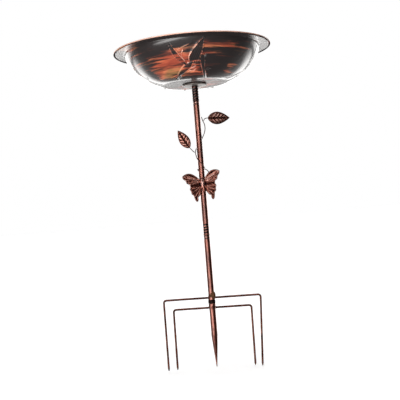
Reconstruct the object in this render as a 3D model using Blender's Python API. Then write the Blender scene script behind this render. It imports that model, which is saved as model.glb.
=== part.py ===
"""Bird bath on a screw-together garden stake, modelled at its real size.

The origin is on the pole's axis at soil level, +Z is up and -Y is the front. Numbers are
millimetres until a mesh or a curve is made. The stake stands in the soil, the upper pole
screws onto the stake, and the dish screws onto the upper pole. Every piece of a section
hangs from that section's empty, which stands on the axis of its screwed joint.
"""

import math

import bmesh
import bpy
from mathutils import Matrix, Vector

MM = 0.001
GAP = 0.3
MERGE = 0.000001

# Tubes and screwed joints
TUBE_RADIUS = 6.0
TUBE_WALL = 1.0
THREAD_PITCH = 5.0
THREAD_LENGTH = 20.0
THREAD_DEPTH = 0.5
FEMALE_BORE = 4.6
SPIGOT_RADIUS = 4.2
SPIGOT_WALL = 1.0
SPIGOT_LENGTH = 22.0
RING_HEIGHT = 6.0
RING_RADIUS = 6.1
LIP_FLARE = 0.25
SIDES = 20

# Heights above the soil line
TIP_DEPTH = 112.0
SPIKE_TOP = 10.0
LOWER_POLE_BASE = 17.0
MID_SHOULDER = 134.0
TOP_SHOULDER = 391.3
SOCKET_BASE = TOP_SHOULDER + RING_HEIGHT + 2 * GAP
PLATE_BASE = 427.0
DISH_BASE = 430.4
RIM_TOP = 497.1

# Stake joint: the collar and the swollen tube ends around it
COLLAR_RADIUS = 7.0
SWELL_RADIUS = 6.8
SWELL_LENGTH = 13.0

# Spike
PINCH_LENGTH = 62.0
TIP_RADIUS = 0.7
SPIKE_BORE_DEPTH = 30.0

# Dish
FLOOR_RADIUS = 60.0
WALL_RADIUS = 129.5
RIM_RADIUS = 150.0
BEAD_RADIUS = 1.8
DISH_WALL = 1.0
DISH_POWER = 1.57
DISH_SIDES = 48
PLATE_RADIUS = 23.5
SOCKET_RADIUS = 6.4

# Fork wires
FORK_WIRE = 2.0
FORK_BEND = 5.0
FORK_DEPTH = SWELL_RADIUS + FORK_WIRE + GAP
POINT_LENGTH = 5.0
# Each fork's crossbar height, then (left, right) pairs: its corners' distance from the pole,
# how far its arms droop and its legs tuck in, in degrees, and how deep its tips reach
OUTER_FORK = (21.5, (92.2, 94.6), (0.4, 1.6), (-0.2, 2.75), (114.8, 118.2))
INNER_FORK = (0.6, (74.7, 75.3), (-0.9, 0.5), (-0.45, 0.5), (113.8, 116.0))

BOSS_CENTRE = (3.6, -3.2, 25.8)
BOSS_SIZE = (4.9, 4.9, 9.4)

# Vine, leaves and butterfly
VINE_WIRE = 0.8
HUG = TUBE_RADIUS + VINE_WIRE + GAP
LEAF_SHEET = 0.8
WING_SHEET = 1.0
WING_FOLD = {-1: math.radians(12), 1: math.radians(20)}
BUTTERFLY_TILT = math.radians(5)
BUTTERFLY_HEIGHT = 237.0

COPPER = ("antique_copper", (0.27, 0.085, 0.05), 0.38, 0.85)
DARK_WIRE = ("dark_wire", (0.10, 0.055, 0.04), 0.45, 0.8)
DARK_COLLAR = ("dark_collar", (0.03, 0.018, 0.015), 0.5, 0.6)
DISH_COAT = ("brushed_copper_coat", (0.12, 0.045, 0.025), 0.3, 0.8)


def clear_scene():
    for item in list(bpy.data.objects):
        bpy.data.objects.remove(item)


def material(name, colour, roughness, metallic):
    made = bpy.data.materials.new(name)
    made.use_nodes = True
    shader = made.node_tree.nodes["Principled BSDF"]
    shader.inputs["Base Color"].default_value = (*colour, 1)
    shader.inputs["Roughness"].default_value = roughness
    shader.inputs["Metallic"].default_value = metallic
    made.diffuse_color = (*colour, 1)
    return made


def section(name, height):
    """An empty on the pole's axis that carries one section of the bird bath."""
    holder = bpy.data.objects.new(name, None)
    holder.location = (0, 0, height * MM)
    bpy.context.scene.collection.objects.link(holder)
    bpy.context.view_layer.update()
    return holder


def place(piece, finish, parent):
    """Links a piece that was made in soil-line coordinates under its section's empty."""
    bpy.context.scene.collection.objects.link(piece)
    piece.data.materials.append(material(f"{piece.name}_{finish[0]}", *finish[1:]))
    piece.parent = parent
    piece.location = Vector(piece.location) - parent.location
    return piece


def solid(name, bm, finish, parent, at=(0, 0, 0)):
    bmesh.ops.recalc_face_normals(bm, faces=bm.faces)
    mesh = bpy.data.meshes.new(name)
    bm.to_mesh(mesh)
    bm.free()
    mesh.shade_smooth()
    mesh.set_sharp_from_angle(angle=math.radians(35))
    piece = bpy.data.objects.new(name, mesh)
    piece.location = Vector(at) * MM
    return place(piece, finish, parent)


def spun(profile, closed=True, sides=SIDES):
    """Turns a profile of (radius, height) points about the pole's axis."""
    bm = bmesh.new()
    points = [bm.verts.new((radius * MM, 0, height * MM)) for radius, height in profile]
    following = points[1:] + points[:1] if closed else points[1:]
    edges = [bm.edges.new(pair) for pair in zip(points, following)]
    bmesh.ops.spin(
        bm, geom=points + edges, axis=(0, 0, 1), cent=(0, 0, 0),
        angle=math.tau, steps=sides, use_merge=True,
    )
    bmesh.ops.remove_doubles(bm, verts=bm.verts, dist=MERGE)
    return bm


def arc(centre, radius, start, end, steps):
    """Points of an arc in a profile, with angles in degrees."""
    angles = [math.radians(start + (end - start) * i / steps) for i in range(steps + 1)]
    return [(centre[0] + radius * math.cos(a), centre[1] + radius * math.sin(a)) for a in angles]


def climb(radius, low, high):
    """Profile points up a wall, close enough together to carry the thread's ribs."""
    count = round((high - low) / THREAD_PITCH * 6)
    return [(radius, low + (high - low) * i / count) for i in range(count + 1)]


def roll_thread(bm, low, high, least_radius):
    """Presses a right-hand helical rib into the wall outside least_radius."""
    for vertex in bm.verts:
        radius = vertex.co.xy.length / MM
        height = vertex.co.z / MM
        if radius < least_radius or not low < height < high:
            continue
        turn = math.atan2(vertex.co.y, vertex.co.x)
        wave = 0.5 - 0.5 * math.cos(math.tau * height / THREAD_PITCH - turn)
        fade = min(1, (height - low) / 2, (high - height) / 2)
        vertex.co.xy *= 1 - THREAD_DEPTH * wave * fade / radius


def make_lower_pole(stake):
    bore = TUBE_RADIUS - TUBE_WALL
    spigot_top = MID_SHOULDER + GAP + RING_HEIGHT + GAP + SPIGOT_LENGTH
    thread_low = spigot_top - THREAD_LENGTH
    profile = [
        (bore, LOWER_POLE_BASE), (SWELL_RADIUS, LOWER_POLE_BASE),
        (SWELL_RADIUS, LOWER_POLE_BASE + 2), (TUBE_RADIUS, LOWER_POLE_BASE + SWELL_LENGTH),
        (TUBE_RADIUS, MID_SHOULDER - 0.8), (TUBE_RADIUS - 0.8, MID_SHOULDER),
        (SPIGOT_RADIUS, MID_SHOULDER),
        *climb(SPIGOT_RADIUS, thread_low, spigot_top - 1),
        (SPIGOT_RADIUS - 0.6, spigot_top),
        (SPIGOT_RADIUS - SPIGOT_WALL, spigot_top),
        (SPIGOT_RADIUS - SPIGOT_WALL, MID_SHOULDER - 4), (bore, MID_SHOULDER - 7),
    ]
    bm = spun(profile)
    roll_thread(bm, thread_low, spigot_top - 0.5, SPIGOT_RADIUS - 0.1)
    return solid("lower_pole", bm, COPPER, stake)


def make_spike(stake):
    """A tube whose lower end is squeezed flat and drawn to a point."""
    bore = TUBE_RADIUS - TUBE_WALL
    bore_floor = SPIKE_TOP - SPIKE_BORE_DEPTH
    steps = 8
    taper = []
    for i in range(steps + 1):
        share = i / steps
        width = TIP_RADIUS + (TUBE_RADIUS - TIP_RADIUS) * (share - 0.06 * math.sin(math.tau * share) / 2)
        taper.append((width, -TIP_DEPTH + 0.6 + (PINCH_LENGTH - 0.6) * share))
    profile = [
        (0, -TIP_DEPTH), *taper, (TUBE_RADIUS, SPIKE_TOP - SWELL_LENGTH),
        (SWELL_RADIUS, SPIKE_TOP - 3), (SWELL_RADIUS, SPIKE_TOP - 1),
        (SWELL_RADIUS - 0.8, SPIKE_TOP), (bore, SPIKE_TOP),
        (bore, bore_floor), (0, bore_floor - 2),
    ]
    bm = spun(profile, closed=False)
    for vertex in bm.verts:
        share = min(1, max(0, (vertex.co.z / MM + TIP_DEPTH) / PINCH_LENGTH))
        vertex.co.y *= 0.55 + 0.45 * share
    return solid("spike", bm, COPPER, stake)


def make_joint_plug(stake):
    """The solid plug that joins the spike to the lower pole, with a dark collar between them."""
    stem = TUBE_RADIUS - TUBE_WALL - GAP
    low = SPIKE_TOP - SPIKE_BORE_DEPTH + 4
    profile = [
        (0, low), (stem - 0.8, low), (stem, low + 0.8), (stem, SPIKE_TOP + GAP),
        (COLLAR_RADIUS, SPIKE_TOP + GAP), (COLLAR_RADIUS, LOWER_POLE_BASE - GAP),
        (stem, LOWER_POLE_BASE - GAP), (stem, LOWER_POLE_BASE + 24.2),
        (stem - 0.8, LOWER_POLE_BASE + 25), (0, LOWER_POLE_BASE + 25),
    ]
    return solid("joint_plug", spun(profile, closed=False), DARK_COLLAR, stake)


def make_joint_ring(name, shoulder, parent):
    """A round-edged ring that is trapped between the two shoulders of a screwed joint."""
    low = shoulder + GAP
    middle = low + RING_HEIGHT / 2
    inner = SPIGOT_RADIUS + GAP
    bulge = RING_HEIGHT / 2 - 0.6
    edge = RING_RADIUS - 0.6
    crown = [(edge + 0.6 * math.cos(a), middle + bulge * math.sin(a))
             for a in [math.radians(-90 + 30 * i) for i in range(7)]]
    profile = [(inner, low), (edge, low), *crown, (edge, low + RING_HEIGHT), (inner, low + RING_HEIGHT)]
    return solid(name, spun(profile), COPPER, parent)


def make_upper_pole(upper):
    bore = TUBE_RADIUS - TUBE_WALL
    base = MID_SHOULDER + RING_HEIGHT + 2 * GAP
    spigot_top = TOP_SHOULDER + RING_HEIGHT + 2 * GAP + SPIGOT_LENGTH
    thread_low = spigot_top - THREAD_LENGTH
    neck = SPIGOT_LENGTH + 5
    profile = [
        (FEMALE_BORE, base), (TUBE_RADIUS, base), (TUBE_RADIUS + LIP_FLARE, base + 0.8),
        (TUBE_RADIUS + LIP_FLARE, base + 2),
        *climb(TUBE_RADIUS, base + 3, base + 3 + THREAD_LENGTH),
        (TUBE_RADIUS, TOP_SHOULDER - 0.8), (TUBE_RADIUS - 0.8, TOP_SHOULDER),
        (SPIGOT_RADIUS, TOP_SHOULDER),
        *climb(SPIGOT_RADIUS, thread_low, spigot_top - 1),
        (SPIGOT_RADIUS - 0.6, spigot_top),
        (SPIGOT_RADIUS - SPIGOT_WALL, spigot_top),
        (SPIGOT_RADIUS - SPIGOT_WALL, TOP_SHOULDER - 4), (bore, TOP_SHOULDER - 7),
        (bore, base + neck + 2), (FEMALE_BORE, base + neck),
    ]
    bm = spun(profile)
    roll_thread(bm, base + 2.5, base + 3.5 + THREAD_LENGTH, bore + 0.1)
    roll_thread(bm, thread_low, spigot_top - 0.5, SPIGOT_RADIUS - 0.1)
    return solid("upper_pole", bm, COPPER, upper)


def make_dish_socket(dish):
    """The rolled-thread socket under the dish, open at its lower end."""
    top = PLATE_BASE - GAP
    profile = [
        (FEMALE_BORE, SOCKET_BASE), (SOCKET_RADIUS, SOCKET_BASE),
        *climb(SOCKET_RADIUS, SOCKET_BASE + 2, top - 3),
        (SOCKET_RADIUS, top), (0, top), (0, top - 3), (FEMALE_BORE, top - 3),
    ]
    bm = spun(profile)
    roll_thread(bm, SOCKET_BASE + 1, top - 2, FEMALE_BORE + 0.5)
    return solid("dish_socket", bm, COPPER, dish)


def make_dish_plate(dish):
    """The round plate that stiffens the dish where the socket is fixed to it."""
    top = DISH_BASE - GAP
    profile = [
        (0, PLATE_BASE), (PLATE_RADIUS - 0.8, PLATE_BASE), (PLATE_RADIUS, PLATE_BASE + 0.8),
        (PLATE_RADIUS, top - 0.8), (PLATE_RADIUS - 0.8, top), (0, top),
    ]
    return solid("dish_plate", spun(profile, closed=False, sides=36), DARK_COLLAR, dish)


def dish_curve(offset, steps):
    """The dish's wall from its floor to its flange, moved inwards by offset."""
    flange = RIM_TOP - BEAD_RADIUS + DISH_WALL / 2 - DISH_WALL
    points = []
    for i in range(steps + 1):
        angle = math.pi / 2 * i / steps
        across = math.sin(angle) ** (2 / DISH_POWER)
        up = 1 - math.cos(angle) ** (2 / DISH_POWER)
        radius = FLOOR_RADIUS + (WALL_RADIUS - FLOOR_RADIUS) * across - offset * math.sin(angle)
        height = DISH_BASE + (flange - DISH_BASE) * up + offset * (1 - math.sin(angle) ** 3)
        points.append((radius, height))
    return points


def make_dish(dish):
    """A pressed dish with a flat floor, a curved wall and a flange that ends in a rolled bead."""
    bead_height = RIM_TOP - BEAD_RADIUS
    bead_centre = (RIM_RADIUS - BEAD_RADIUS, bead_height)
    inner = dish_curve(DISH_WALL, 12)
    inner[-1] = (inner[-1][0], bead_height + DISH_WALL / 2)
    profile = [
        (0, DISH_BASE), *dish_curve(0, 12),
        *arc(bead_centre, BEAD_RADIUS, -164, 164, 10),
        *reversed(inner), (0, DISH_BASE + DISH_WALL),
    ]
    return solid("dish", spun(profile, closed=False, sides=DISH_SIDES), DISH_COAT, dish)


def smooth(route, steps):
    """A Catmull-Rom curve through the route's points."""
    ends = [2 * Vector(route[0]) - Vector(route[1]), 2 * Vector(route[-1]) - Vector(route[-2])]
    knots = [ends[0], *map(Vector, route), ends[1]]
    points = []
    for a, b, c, d in zip(knots, knots[1:], knots[2:], knots[3:]):
        for i in range(steps):
            t = i / steps
            points.append(0.5 * (2 * b + (c - a) * t + (2 * a - 5 * b + 4 * c - d) * t**2
                                 + (3 * b - a - 3 * c + d) * t**3))
    return [*points, knots[-2]]


def wire(name, points, radius, finish, parent, narrow=None):
    """A round wire along points; narrow maps a point's index to its share of the radius."""
    curve = bpy.data.curves.new(name, "CURVE")
    curve.dimensions = "3D"
    curve.bevel_depth = radius * MM
    curve.bevel_resolution = 2
    curve.use_fill_caps = True
    curve.render_resolution_u = 0
    spline = curve.splines.new("POLY")
    spline.points.add(len(points) - 1)
    for knot, point in zip(spline.points, points):
        knot.co = (*(Vector(point) * MM), 1)
    for index, share in (narrow or {}).items():
        spline.points[index].radius = share
    return place(bpy.data.objects.new(name, curve), finish, parent)


def bend(corner, before, after, radius, steps=6):
    """Points that round the corner between two straight runs."""
    corner = Vector(corner)
    arriving = (corner - Vector(before)).normalized()
    leaving = (Vector(after) - corner).normalized()
    half = arriving.angle(leaving) / 2
    setback = radius * math.tan(half)
    centre = corner + (leaving - arriving).normalized() * radius / math.cos(half)
    start = corner - arriving * setback - centre
    axis = arriving.cross(leaving).normalized()
    return [centre + Matrix.Rotation(2 * half * i / steps, 3, axis) @ start for i in range(steps + 1)]


def make_fork(name, shape, stake):
    """A U of round wire across the back of the pole, with bluntly pointed legs."""
    bar, *sides = shape
    ends = []
    for sign, (reach, droop, tuck, depth) in zip((-1, 1), zip(*sides)):
        corner = Vector((sign * reach, FORK_DEPTH, bar - reach * math.tan(math.radians(droop))))
        down = Vector((-sign * math.sin(math.radians(tuck)), 0, -math.cos(math.radians(tuck))))
        tip = corner + down * (corner.z + depth) / -down.z
        ends.append((corner, tip, tip - down * POINT_LENGTH))
    (left, left_tip, left_taper), (right, right_tip, right_taper) = ends
    middle = (0, FORK_DEPTH, bar)
    points = [
        left_tip, left_taper, *bend(left, left_tip, middle, FORK_BEND), middle,
        *bend(right, middle, right_tip, FORK_BEND), right_taper, right_tip,
    ]
    return wire(name, points, FORK_WIRE, COPPER, stake, {0: 0.4, len(points) - 1: 0.4})


def make_fork_boss(stake):
    """The lump of weld that ties the outer fork to the pole's front right side."""
    bm = bmesh.new()
    bmesh.ops.create_uvsphere(bm, u_segments=16, v_segments=10, radius=MM)
    bmesh.ops.scale(bm, verts=bm.verts, vec=BOSS_SIZE)
    for vertex in bm.verts:
        vertex.co.xy *= 1 - 0.25 * max(0, vertex.co.z / MM / BOSS_SIZE[2])
    boss = solid("fork_boss", bm, COPPER, stake, at=BOSS_CENTRE)
    foot = LOWER_POLE_BASE
    core = [
        (0, 0), (SWELL_RADIUS + GAP, 0), (SWELL_RADIUS + GAP, foot + 2),
        (TUBE_RADIUS + GAP, foot + SWELL_LENGTH), (TUBE_RADIUS + GAP, 60), (0, 60),
    ]
    cutter = solid("boss_cutter", spun(core, closed=False, sides=32), DARK_COLLAR, stake)
    cutter.hide_render = True
    cutter.display_type = "WIRE"
    cut = boss.modifiers.new("clear_the_pole", "BOOLEAN")
    cut.object = cutter
    cut.solver = "EXACT"
    return boss


def circle_point(degrees, height, radius=HUG):
    """A point beside the pole; 0 degrees is the right side and -90 the front."""
    angle = math.radians(degrees)
    return (radius * math.cos(angle), radius * math.sin(angle), height)


VINE_ROUTE = [
    circle_point(-28, 269.6), circle_point(-55, 273.2), circle_point(-88, 279.2),
    circle_point(-122, 284.2), circle_point(-152, 288.5, HUG + 0.4), (-8.0, -1.2, 294.5), (-8.7, 0, 299.4),
    (-7.9, 2.4, 304.5), circle_point(134, 309.8, HUG + 0.2), circle_point(92, 316.5),
    circle_point(52, 322.4), circle_point(22, 328.0, HUG + 0.5), (11.2, 0.6, 336.0), (13.2, -0.4, 344.3),
    (12.8, -0.8, 351.5), (10.6, -1.0, 358.0), (9.1, -1.0, 362.2), (8.2, -0.9, 366.2),
]
TIE_ROUTE = [
    (13.3, -8.2, 259.8), (11.6, -6.0, 263.6), circle_point(-24, 266.4, HUG + 1.5), circle_point(8, 267.2),
    circle_point(50, 267.0), circle_point(90, 266.8), circle_point(130, 266.8),
    circle_point(170, 267.2), circle_point(200, 267.0, HUG + 0.3), circle_point(212, 264.6, HUG + 0.2),
]
LEFT_LEAF = ((-19.1, -1.2, 309.2), (-39.0, -3.0, 344.3))
RIGHT_LEAF = ((19.7, -1.4, 363.7), (61.5, -4.0, 360.7))
LEFT_STEM_ROUTE = [(-10.6, -0.2, 300.6), (-13.3, -0.7, 303.0), (-16.1, -1.0, 306.4), (-18.3, -1.1, 308.9)]
RIGHT_STEM_ROUTE = [(12.0, -1.5, 359.9), (13.3, -1.5, 362.2), (15.5, -1.4, 363.6), (18.8, -1.4, 363.9)]


def make_vine(upper):
    wire("vine_wire", smooth(VINE_ROUTE, 3), VINE_WIRE, DARK_WIRE, upper)
    wire("butterfly_tie", smooth(TIE_ROUTE, 3), VINE_WIRE, DARK_WIRE, upper)
    wire("left_leaf_stem", smooth(LEFT_STEM_ROUTE, 3), VINE_WIRE * 0.9, DARK_WIRE, upper)
    wire("right_leaf_stem", smooth(RIGHT_STEM_ROUTE, 3), VINE_WIRE * 0.9, DARK_WIRE, upper)


def make_leaf(name, ends, width, roll, upper):
    """A pointed leaf of thin sheet, creased along its midrib; roll turns its face up or down."""
    base, tip = map(Vector, ends)
    length = (tip - base).length
    rows, columns = 12, 6
    bm = bmesh.new()
    strips = []
    for i in range(rows + 1):
        share = i / rows
        half = width / 2 * math.sin(math.pi * share**0.8) ** 0.85
        strip = []
        for j in range(columns + 1):
            side = 2 * j / columns - 1
            dome = 2.2 * math.sin(math.pi * share) * (1 - side * side)
            crease = 1.2 * math.sin(math.pi * share) * (1 - abs(side)) ** 2
            strip.append(Vector((share * length, crease - dome, side * half)) * MM)
        if i in (0, rows):
            strips.append([bm.verts.new(strip[columns // 2])] * (columns + 1))
        else:
            strips.append([bm.verts.new(point) for point in strip])
    for lower, higher in zip(strips, strips[1:]):
        for j in range(columns):
            ring = [lower[j], lower[j + 1], higher[j + 1], higher[j]]
            bm.faces.new(dict.fromkeys(ring))
    leaf = solid(name, bm, COPPER, upper, at=base)
    along = (tip - base).normalized()
    face = Vector((0, -1, 0)) - along * along.dot(Vector((0, -1, 0)))
    face.normalize()
    frame = Matrix((along, -face, along.cross(-face))).transposed()
    leaf.rotation_euler = (frame @ Matrix.Rotation(math.radians(roll), 3, "X")).to_euler()
    sheet = leaf.modifiers.new("sheet", "SOLIDIFY")
    sheet.thickness = LEAF_SHEET * MM
    sheet.offset = 0
    return leaf


# Right half of the wings, from the root's top round to its bottom, before the wings are folded
WING_OUTLINE = [
    (6.5, 13.5), (12.0, 19.0), (18.5, 23.6), (25.5, 25.3), (32.0, 24.2), (37.0, 21.0),
    (35.6, 15.6), (32.0, 12.0), (30.2, 6.6), (26.0, 4.0), (24.6, -0.5),
    (26.4, -5.0), (24.6, -9.6), (24.4, -14.2), (21.2, -17.6), (20.2, -22.4), (18.6, -28.0), (15.6, -30.4),
    (13.2, -27.2), (12.6, -22.0), (9.4, -20.0), (6.4, -15.6),
]
WING_ROOT = 2.4
ROOT_TOP = 8.5
ROOT_BASE = -9.5


def make_butterfly(upper):
    """Stamped wings that fold forwards from the body, with a separate domed body in front."""
    front = -(TUBE_RADIUS + GAP)
    bm = bmesh.new()
    roots = [(WING_ROOT, ROOT_TOP), (WING_ROOT, ROOT_BASE)]
    hinge = {}
    for sign in (1, -1):
        fold = Matrix.Rotation(-WING_FOLD[sign], 3, "Z")
        edge = [bm.verts.new(Vector((sign * x, 0, z)) * MM) for x, z in roots]
        outline = []
        for x, z in WING_OUTLINE:
            point = fold @ Vector((x - WING_ROOT, 0, z))
            outline.append(bm.verts.new(Vector((sign * (point.x + WING_ROOT), point.y, z)) * MM))
        bm.faces.new([edge[0], *outline, edge[1]])
        hinge[sign] = edge
    bm.faces.new([hinge[1][0], hinge[1][1], hinge[-1][1], hinge[-1][0]])
    at = (0.6, front - WING_SHEET / 2, BUTTERFLY_HEIGHT)
    wings = solid("butterfly_wings", bm, COPPER, upper, at=at)
    sheet = wings.modifiers.new("sheet", "SOLIDIFY")
    sheet.thickness = WING_SHEET * MM
    sheet.offset = 0
    wings.rotation_euler = (0, -BUTTERFLY_TILT, 0)

    bm = bmesh.new()
    bmesh.ops.create_uvsphere(bm, u_segments=16, v_segments=12, radius=MM)
    bmesh.ops.scale(bm, verts=bm.verts, vec=(4.0, 3.0, 14.2))
    for vertex in bm.verts:
        share = vertex.co.z / MM / 14.2
        vertex.co.xy *= 1 + 0.22 * share - 0.25 * max(0, -share) - 0.2 * max(0, share - 0.55)
    depth = front - WING_SHEET - GAP - 3.6
    body = solid("butterfly_body", bm, COPPER, upper, at=(0.65, depth, BUTTERFLY_HEIGHT - 0.2))
    body.rotation_euler = (0, -BUTTERFLY_TILT, 0)


def main():
    clear_scene()
    stake = section("stake_section", 0)
    upper = section("upper_section", MID_SHOULDER)
    dish = section("dish_section", TOP_SHOULDER)
    make_spike(stake)
    make_joint_plug(stake)
    make_lower_pole(stake)
    make_fork("outer_fork", OUTER_FORK, stake)
    make_fork("inner_fork", INNER_FORK, stake)
    make_fork_boss(stake)
    make_joint_ring("mid_joint_ring", MID_SHOULDER, upper)
    make_upper_pole(upper)
    make_vine(upper)
    make_leaf("left_leaf", LEFT_LEAF, 20, -8, upper)
    make_leaf("right_leaf", RIGHT_LEAF, 24, 10, upper)
    make_butterfly(upper)
    make_joint_ring("top_joint_ring", TOP_SHOULDER, dish)
    make_dish_socket(dish)
    make_dish_plate(dish)
    make_dish(dish)


main()
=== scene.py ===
"""Looks of the bird bath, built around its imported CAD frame.

Lengths are millimetres until a mesh is made. Every piece stands in the frame's coordinates:
the origin is on the pole's axis at soil level, +Z is up and -Y is the front.
"""

import math

import bmesh
import bpy
import numpy as np
from mathutils import Matrix, Vector
from mathutils.geometry import delaunay_2d_cdt


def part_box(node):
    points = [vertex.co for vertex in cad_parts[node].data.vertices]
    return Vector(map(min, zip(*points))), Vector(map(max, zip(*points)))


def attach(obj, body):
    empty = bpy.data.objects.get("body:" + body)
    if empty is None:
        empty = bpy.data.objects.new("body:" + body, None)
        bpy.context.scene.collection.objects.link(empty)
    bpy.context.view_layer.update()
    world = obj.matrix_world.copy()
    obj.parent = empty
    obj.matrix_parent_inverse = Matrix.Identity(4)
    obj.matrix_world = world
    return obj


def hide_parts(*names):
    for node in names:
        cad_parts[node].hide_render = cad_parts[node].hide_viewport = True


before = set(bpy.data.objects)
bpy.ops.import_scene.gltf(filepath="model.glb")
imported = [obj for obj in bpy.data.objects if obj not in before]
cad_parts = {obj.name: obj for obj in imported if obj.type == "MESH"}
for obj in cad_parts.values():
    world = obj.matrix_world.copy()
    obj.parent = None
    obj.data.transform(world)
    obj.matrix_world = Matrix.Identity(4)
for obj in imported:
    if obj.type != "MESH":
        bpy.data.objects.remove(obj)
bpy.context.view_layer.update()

MM = 0.001


def low(node, axis=2):
    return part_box(node)[0][axis] / MM


def high(node, axis=2):
    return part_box(node)[1][axis] / MM


# Heights and radii that the frame gives
GAP = 0.3
TIP = low("spike")
SPIKE_TOP = high("spike")
POLE_BASE = low("lower_pole")
MID_SHOULDER = low("mid_joint_ring") - GAP
UPPER_BASE = low("upper_pole")
TOP_SHOULDER = low("top_joint_ring") - GAP
SOCKET_BASE = low("dish_socket")
PLATE_BASE = low("dish_plate")
DISH_BASE = low("dish")
RIM_TOP = high("dish")
RIM_RADIUS = high("dish", 0)
PLATE_RADIUS = high("dish_plate", 0)
COLLAR_RADIUS = high("joint_plug", 0)
SOCKET_RADIUS = high("dish_socket", 0)
RING_RADIUS = high("mid_joint_ring", 0)
SPIGOT_TOP = high("lower_pole")
UPPER_SPIGOT_TOP = high("upper_pole")

# The ridge mark of a plain surface, and how far a thread's ribs are above it and its groove below
PLAIN = 0.5
RIB_CREST = 0.22
RIB_GROOVE = 0.95

# Tubes and their screwed joints
EDGE = 0.8
TUBE_RADIUS = 6.0
BORE = 5.0
SWELL_RADIUS = high("lower_pole", 0)
SWELL_LENGTH = 13.0
FEMALE_BORE = 4.6
SPIGOT_RADIUS = 4.2
SPIGOT_BORE = 3.2
PITCH = 5.0
THREAD_LENGTH = 20.0
THREAD_DEPTH = 0.5
ROUND_SIDES = 72
CAP_RINGS = 4
# Distance between the rows of a stamped sheet's triangles, as a share of their spacing
ROW_PITCH = 0.866

# Spike
PINCH_LENGTH = 62.0

# Bowl: the wall is a quarter of a superellipse between its flat floor and its flange
FLOOR_RADIUS = 60.0
WALL_RADIUS = 129.5
BEAD_RADIUS = 1.8
SHEET = 1.0
WALL_POWER = 1.57
WALL_ROWS = 190
MOTIFS = 4
MOTIF_TURN = math.radians(-96)
MOTIF_HALF = math.radians(34)

# Fork wires: crossbar height, then (left, right) corner distances, droops and tucks in
# degrees, and tip depths
WIRE_RADIUS = 2.0
FORK_BEND = 5.0
FORK_DEPTH = SWELL_RADIUS + WIRE_RADIUS + GAP
POINT_LENGTH = 5.0
OUTER_FORK = (21.5, (92.2, 94.6), (0.4, 1.6), (-0.2, 2.75), (114.8, 118.2))
INNER_FORK = (0.6, (74.7, 75.3), (-0.9, 0.5), (-0.45, 0.5), (113.8, 116.0))

# Vine, leaves and butterfly
VINE_RADIUS = 0.8
STEM_RADIUS = 0.72
HUG = TUBE_RADIUS + VINE_RADIUS + GAP
LEAF_SHEET = 0.8
LEAF_VEINS = 6.2
WING_SHEET = 1.0
WING_ROOT = 2.4
WING_FOLD = {-1: math.radians(12), 1: math.radians(20)}
BUTTERFLY_TILT = math.radians(5)
BUTTERFLY_X = 0.6
BUTTERFLY_HEIGHT = 237.0
WING_FRONT = -(TUBE_RADIUS + GAP)


# ---- curves and numbers


def ease(low_edge, high_edge, value):
    """0 below low_edge, 1 above high_edge and smooth between."""
    share = np.clip((value - low_edge) / (high_edge - low_edge), 0, 1)
    return share * share * (3 - 2 * share)


def bell(value, width):
    """1 at 0, and falling off on both sides."""
    return np.exp(-((value / width) ** 2))


def line_distance(x, y, start, end):
    """How far points are from a straight line between two ends."""
    dx, dy = end[0] - start[0], end[1] - start[1]
    share = np.clip(((x - start[0]) * dx + (y - start[1]) * dy) / (dx * dx + dy * dy + 1e-12), 0, 1)
    return np.hypot(x - start[0] - share * dx, y - start[1] - share * dy)


def smooth(route, steps):
    """A Catmull-Rom curve through a route's points, of any number of coordinates."""
    knots = np.array(route, float)
    knots = np.vstack([2 * knots[0] - knots[1], knots, 2 * knots[-1] - knots[-2]])
    t = (np.arange(steps) / steps)[:, None]
    runs = []
    for a, b, c, d in zip(knots, knots[1:], knots[2:], knots[3:]):
        runs.append(0.5 * (2 * b + (c - a) * t + (2 * a - 5 * b + 4 * c - d) * t**2
                           + (3 * b - a - 3 * c + d) * t**3))
    return np.vstack([*runs, knots[-2:-1]])


def arc(centre, radius, start, end, steps):
    """Points of an arc in a profile, with angles in degrees."""
    turns = np.radians(np.linspace(start, end, steps + 1))
    return [(centre[0] + radius * math.cos(a), centre[1] + radius * math.sin(a)) for a in turns]


def rise(radius, start, end, step=0.5):
    """Profile points straight up or down a wall."""
    count = max(2, round(abs(end - start) / step))
    return [(radius, start + (end - start) * i / count) for i in range(count + 1)]


def circle_point(degrees, height, radius=HUG):
    """A point beside the pole; 0 degrees is the right side and -90 the front."""
    angle = math.radians(degrees)
    return (radius * math.cos(angle), radius * math.sin(angle), height)


def bend(corner, before, after, radius, steps=14):
    """Points that round the corner between two straight runs."""
    corner = Vector(corner)
    arriving = (corner - Vector(before)).normalized()
    leaving = (Vector(after) - corner).normalized()
    half = arriving.angle(leaving) / 2
    centre = corner + (leaving - arriving).normalized() * radius / math.cos(half)
    start = corner - arriving * radius * math.tan(half) - centre
    axis = arriving.cross(leaving).normalized()
    return [centre + Matrix.Rotation(2 * half * i / steps, 3, axis) @ start for i in range(steps + 1)]


def straight(start, end, step):
    """Evenly spaced points from start up to, but not with, end."""
    start, end = Vector(start), Vector(end)
    count = max(1, round((end - start).length / step))
    return [start.lerp(end, i / count) for i in range(count)]


def hash_wave(x, y, z, seed):
    """A smooth seeded wobble in -1..1, the sum of a few sine waves in random directions."""
    draw = np.random.default_rng(seed)
    total = 0
    for octave in range(5):
        direction = draw.normal(size=3)
        direction *= (0.6 + 0.5 * octave) / np.linalg.norm(direction)
        total = total + np.sin(direction[0] * x + direction[1] * y + direction[2] * z
                               + draw.uniform(0, math.tau)) / (1 + 0.5 * octave)
    return total / 2.2


# ---- meshes


def add_object(name, data):
    made = bpy.data.objects.new(name, data)
    bpy.context.scene.collection.objects.link(made)
    return made


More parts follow.
